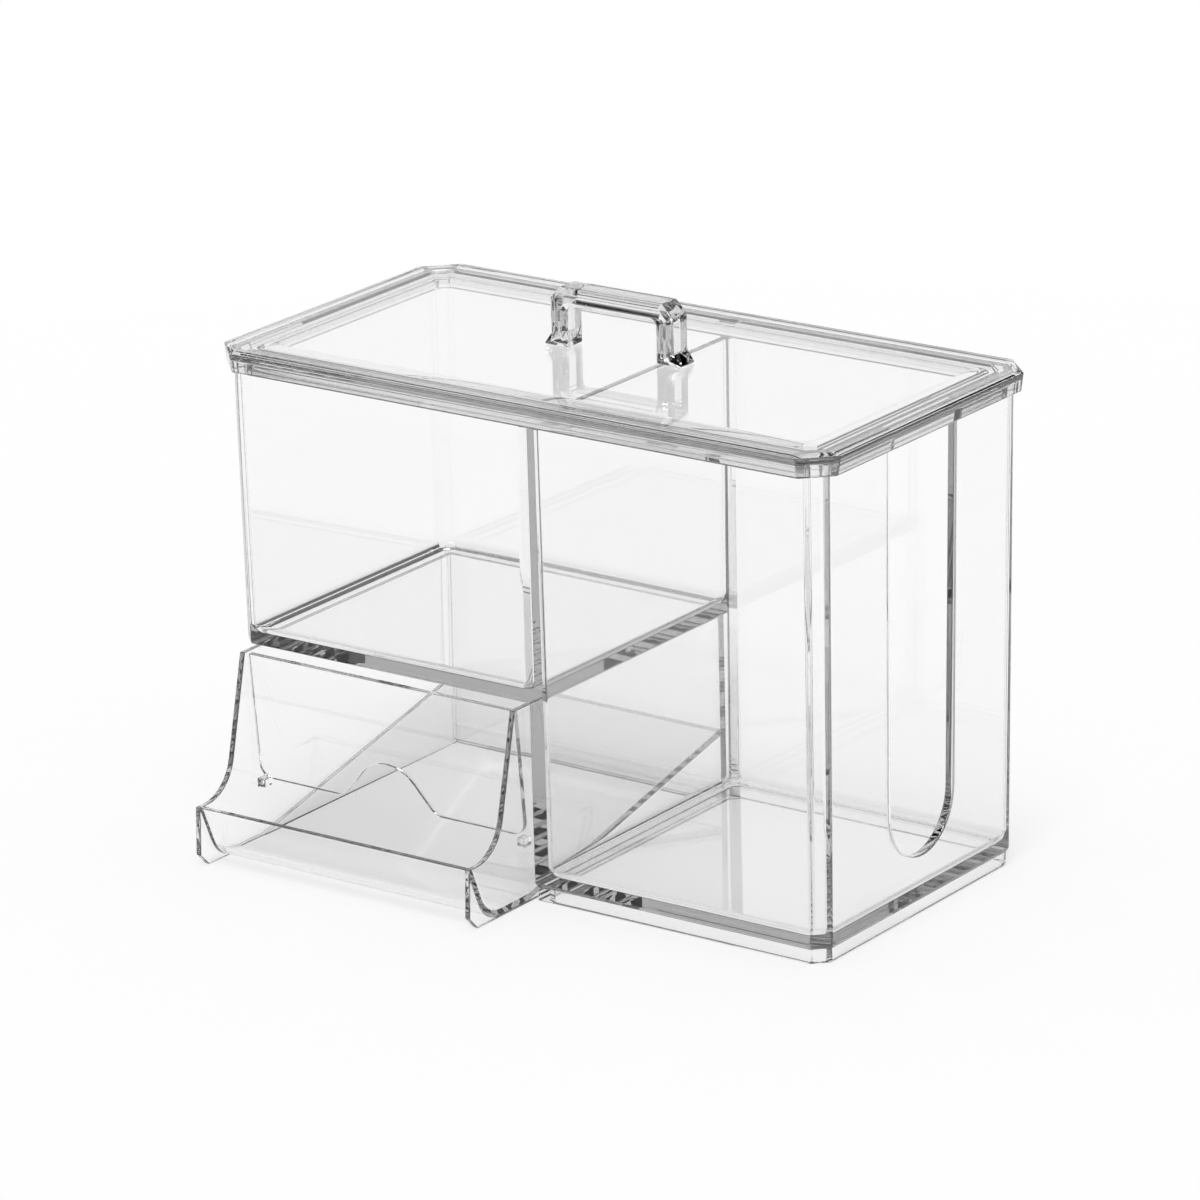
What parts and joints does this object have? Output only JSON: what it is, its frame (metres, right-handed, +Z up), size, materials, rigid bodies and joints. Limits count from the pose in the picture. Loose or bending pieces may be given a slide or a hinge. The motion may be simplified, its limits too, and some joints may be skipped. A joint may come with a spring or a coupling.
{
  "type": "makeup organizer",
  "caption": "Clear moulded organizer box with a tall bin, a raised bin over a pull-out swab drawer with a ramp and baffle, and a lift-off lid with a handle.",
  "frame": {"origin": "on the surface that the organizer stands on, under the middle of the whole object's box", "axes": "+Z up, +X along the long side towards the tall bin with the finger slot, -Y towards the front, where the drawer's scoop sticks out"},
  "size_m": [0.18, 0.1156, 0.1419],
  "materials": {
    "organizer_body_plastic": "clear, polished, moulded",
    "swab_drawer_plastic": "clear, polished, moulded",
    "drawer_baffle_plastic": "clear, polished, moulded",
    "lid_plastic": "clear, polished, moulded",
    "lid_handle_plastic": "clear, polished, moulded"
  },
  "bodies": {
    "organizer": {"organizer_body": "organizer_body_plastic"},
    "drawer": {"swab_drawer": "swab_drawer_plastic", "drawer_baffle": "drawer_baffle_plastic"},
    "lid_assembly": {"lid": "lid_plastic", "lid_handle": "lid_handle_plastic"}
  },
  "joints": [
    {"name": "drawer_slide", "type": "slide", "parent": "organizer", "child": "drawer", "axis": [0, -1, 0], "range_m": [0, 0.085]},
    {"name": "lid_lift", "type": "slide", "parent": "organizer", "child": "lid_assembly", "axis": [0, 0, 1], "range_m": [0, 0.03]}
  ]
}
